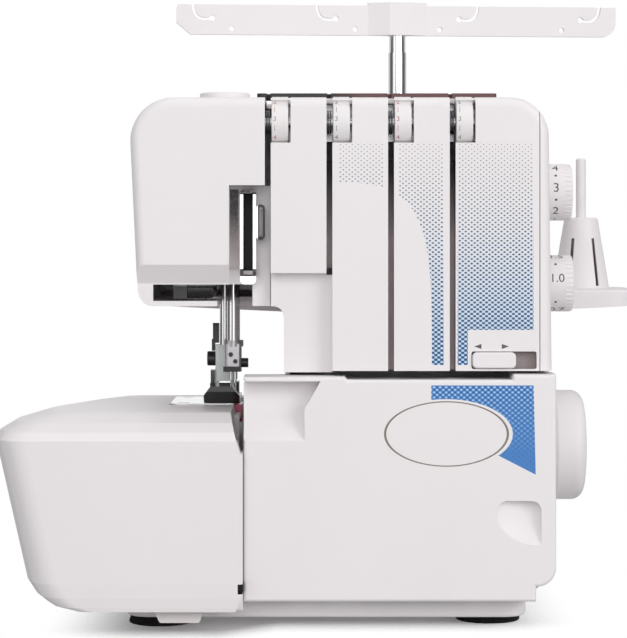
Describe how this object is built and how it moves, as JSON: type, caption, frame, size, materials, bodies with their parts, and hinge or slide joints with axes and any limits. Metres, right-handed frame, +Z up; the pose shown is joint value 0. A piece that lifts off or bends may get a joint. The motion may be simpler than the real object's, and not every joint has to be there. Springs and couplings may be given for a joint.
{
  "type": "serger overlock machine",
  "caption": "White domestic overlock machine with tension dials, a drop-down looper cover, a slide-off table and a spool stand with a telescopic thread guide.",
  "frame": {"origin": "middle of the overall outline, on the floor that the feet stand on", "axes": "+X to the user's right, +Y away from the user, +Z up"},
  "size_m": [0.346, 0.25, 0.3323],
  "materials": {
    "white_plastic": "satin moulded plastic",
    "grey_plastic": "matt moulded plastic",
    "dark_plastic": "matt moulded plastic",
    "chrome": "polished plate",
    "steel": "ground steel",
    "cast_aluminium": "as cast",
    "painted_steel": "black stoved paint",
    "bronze": "sintered bronze",
    "black_rubber": "soft black rubber",
    "red_plastic": "gloss moulded plastic",
    "lamp_glass": "frosted glass bulb on a bright reflector"
  },
  "bodies": {
    "chassis": {"rear_housing": "white_plastic", "right_end_cover": "white_plastic", "front_panel": "white_plastic", "head_cover": "white_plastic", "free_arm_cover": "white_plastic", "spool_stand": "white_plastic", "cone_holders": "white_plastic", "spool_pins": "white_plastic", "base_tray": "grey_plastic", "thread_channels": "dark_plastic", "top_thread_guide": "dark_plastic", "power_inlet": "dark_plastic", "outer_pole": "chrome", "needle_thread_guides": "chrome", "tension_discs": "chrome", "needle_plate": "chrome", "presser_spring": "steel", "fixing_screws": "steel", "lower_knife": "steel", "tension_bracket": "steel", "machine_frame": "cast_aluminium", "bearing_bushes": "bronze", "rubber_feet": "black_rubber", "motor": "painted_steel", "drive_belt": "black_rubber", "knife_guard": "red_plastic", "lamp": "lamp_glass"},
    "drive": {"main_shaft": "steel", "handwheel": "white_plastic"},
    "motor_rotor": {"motor_pulley": "steel"},
    "needle_bar": {"needle_bar": "steel", "needle_clamp": "steel", "needles": "chrome", "needle_screws": "dark_plastic"},
    "needle_rocker": {"needle_rocker": "steel"},
    "lower_looper": {"lower_looper": "chrome"},
    "upper_looper": {"upper_looper": "chrome"},
    "upper_knife": {"upper_knife": "steel"},
    "feed": {"feed_dogs": "steel"},
    "presser_lifter": {"presser_lifter": "steel"},
    "presser_bar": {"presser_bar": "steel", "foot_holder": "white_plastic", "foot_screw": "dark_plastic"},
    "presser_foot": {"presser_foot": "dark_plastic"},
    "foot_release": {"foot_release": "dark_plastic"},
    "pressure_dial": {"pressure_dial": "white_plastic"},
    "stitch_length_dial": {"stitch_length_dial": "white_plastic"},
    "differential_dial": {"differential_dial": "white_plastic"},
    "tension_dial_1": {"tension_dial_1": "white_plastic"},
    "tension_dial_2": {"tension_dial_2": "white_plastic"},
    "tension_dial_3": {"tension_dial_3": "white_plastic"},
    "tension_dial_4": {"tension_dial_4": "white_plastic"},
    "width_slider": {"width_slider": "white_plastic"},
    "cover_rod": {"cover_rod": "steel"},
    "looper_cover": {"looper_cover": "white_plastic"},
    "table": {"extension_table": "white_plastic"},
    "table_release": {"table_release": "grey_plastic"},
    "inner_pole": {"inner_pole": "chrome"},
    "guide_bar": {"thread_guide_bar": "white_plastic"},
    "power_switch": {"power_switch": "dark_plastic"}
  },
  "joints": [
    {"name": "handwheel_turn", "type": "hinge", "parent": "chassis", "child": "drive", "pos_m": [0.05, -0.035, 0.088], "axis": [1, 0, 0], "continuous": true},
    {"name": "motor_turn", "type": "hinge", "parent": "chassis", "child": "motor_rotor", "pos_m": [0.08, -0.014, 0.045], "axis": [1, 0, 0], "continuous": true},
    {"name": "needle_bar_stroke", "type": "slide", "parent": "chassis", "child": "needle_bar", "axis": [0, 0, 1], "range_m": [-0.004, 0.022]},
    {"name": "needle_rocker_swing", "type": "hinge", "parent": "chassis", "child": "needle_rocker", "pos_m": [-0.04, 0.008, 0.205], "axis": [-1, 0, 0], "range_deg": [-7, 37.5]},
    {"name": "lower_looper_swing", "type": "hinge", "parent": "chassis", "child": "lower_looper", "pos_m": [-0.022, -0.015, 0.06], "axis": [0, -1, 0], "range_deg": [-1.5, 7.2]},
    {"name": "upper_looper_stroke", "type": "slide", "parent": "chassis", "child": "upper_looper", "axis": [-0.5, 0, 0.866], "range_m": [-0.0017, 0.0089]},
    {"name": "upper_knife_stroke", "type": "slide", "parent": "chassis", "child": "upper_knife", "axis": [0, 0, 1], "range_m": [-0.0015, 0.0078]},
    {"name": "feed_stroke", "type": "slide", "parent": "chassis", "child": "feed", "axis": [0, 1, 0], "range_m": [-0.0005, 0.0023]},
    {"name": "presser_lifter_swing", "type": "hinge", "parent": "chassis", "child": "presser_lifter", "pos_m": [-0.06, 0.01, 0.194], "axis": [1, 0, 0], "range_deg": [0, 40]},
    {"name": "presser_bar_lift", "type": "slide", "parent": "chassis", "child": "presser_bar", "axis": [0, 0, 1], "range_m": [0, 0.0062], "deforming": ["presser_spring"]},
    {"name": "presser_foot_tilt", "type": "hinge", "parent": "presser_bar", "child": "presser_foot", "pos_m": [-0.06, -0.015, 0.1183], "axis": [-1, 0, 0], "range_deg": [0, 5]},
    {"name": "foot_release_tilt", "type": "hinge", "parent": "presser_bar", "child": "foot_release", "pos_m": [-0.066, -0.0112, 0.1387], "axis": [1, 0, 0], "range_deg": [0, 12]},
    {"name": "pressure_dial_turn", "type": "hinge", "parent": "chassis", "child": "pressure_dial", "pos_m": [-0.06, -0.015, 0.27], "axis": [0, 0, 1], "range_deg": [-150, 150]},
    {"name": "stitch_length_turn", "type": "hinge", "parent": "chassis", "child": "stitch_length_dial", "pos_m": [0.112, -0.055, 0.222], "axis": [1, 0, 0], "range_deg": [-110, 110]},
    {"name": "differential_turn", "type": "hinge", "parent": "chassis", "child": "differential_dial", "pos_m": [0.112, -0.055, 0.1743], "axis": [1, 0, 0], "range_deg": [-70, 70]},
    {"name": "tension_turn_1", "type": "hinge", "parent": "chassis", "child": "tension_dial_1", "pos_m": [-0.029, -0.097, 0.2566], "axis": [1, 0, 0], "range_deg": [-150, 150]},
    {"name": "tension_turn_2", "type": "hinge", "parent": "chassis", "child": "tension_dial_2", "pos_m": [0.002, -0.097, 0.2566], "axis": [1, 0, 0], "range_deg": [-150, 150]},
    {"name": "tension_turn_3", "type": "hinge", "parent": "chassis", "child": "tension_dial_3", "pos_m": [0.033, -0.097, 0.2566], "axis": [1, 0, 0], "range_deg": [-150, 150]},
    {"name": "tension_turn_4", "type": "hinge", "parent": "chassis", "child": "tension_dial_4", "pos_m": [0.064, -0.097, 0.2566], "axis": [1, 0, 0], "range_deg": [-150, 150]},
    {"name": "width_slide", "type": "slide", "parent": "chassis", "child": "width_slider", "axis": [1, 0, 0], "range_m": [0, 0.01]},
    {"name": "cover_slide", "type": "slide", "parent": "chassis", "child": "cover_rod", "axis": [1, 0, 0], "range_m": [0, 0.006]},
    {"name": "cover_swing", "type": "hinge", "parent": "cover_rod", "child": "looper_cover", "pos_m": [0.03, -0.105, 0.022], "axis": [1, 0, 0], "range_deg": [0, 90]},
    {"name": "table_slide", "type": "slide", "parent": "chassis", "child": "table", "axis": [-1, 0, 0], "range_m": [0, 0.13]},
    {"name": "table_release_tilt", "type": "hinge", "parent": "table", "child": "table_release", "pos_m": [-0.0795, -0.113, 0.016], "axis": [1, 0, 0], "range_deg": [-15, 0]},
    {"name": "pole_slide", "type": "slide", "parent": "chassis", "child": "inner_pole", "axis": [0, 0, 1], "range_m": [-0.008, 0.115]},
    {"name": "guide_bar_turn", "type": "hinge", "parent": "inner_pole", "child": "guide_bar", "pos_m": [0.036, 0.058, 0.32], "axis": [0, 0, 1], "range_deg": [-90, 90]},
    {"name": "power_switch_rock", "type": "hinge", "parent": "chassis", "child": "power_switch", "pos_m": [0.10789, -0.029, 0.039], "axis": [0, 0, 1], "range_deg": [-8, 8]}
  ],
  "couplings": [
    {"joint": "motor_turn", "follows": "handwheel_turn", "ratio": 3},
    {"joint": "needle_rocker_swing", "follows": "needle_bar_stroke", "rad_per_m": 29.2},
    {"joint": "lower_looper_swing", "follows": "needle_bar_stroke", "rad_per_m": 5.55},
    {"joint": "upper_looper_stroke", "follows": "needle_bar_stroke", "ratio": 0.4},
    {"joint": "upper_knife_stroke", "follows": "needle_bar_stroke", "ratio": 0.35},
    {"joint": "feed_stroke", "follows": "needle_bar_stroke", "ratio": 0.1},
    {"joint": "presser_bar_lift", "follows": "presser_lifter_swing", "m_per_rad": 0.00874}
  ]
}
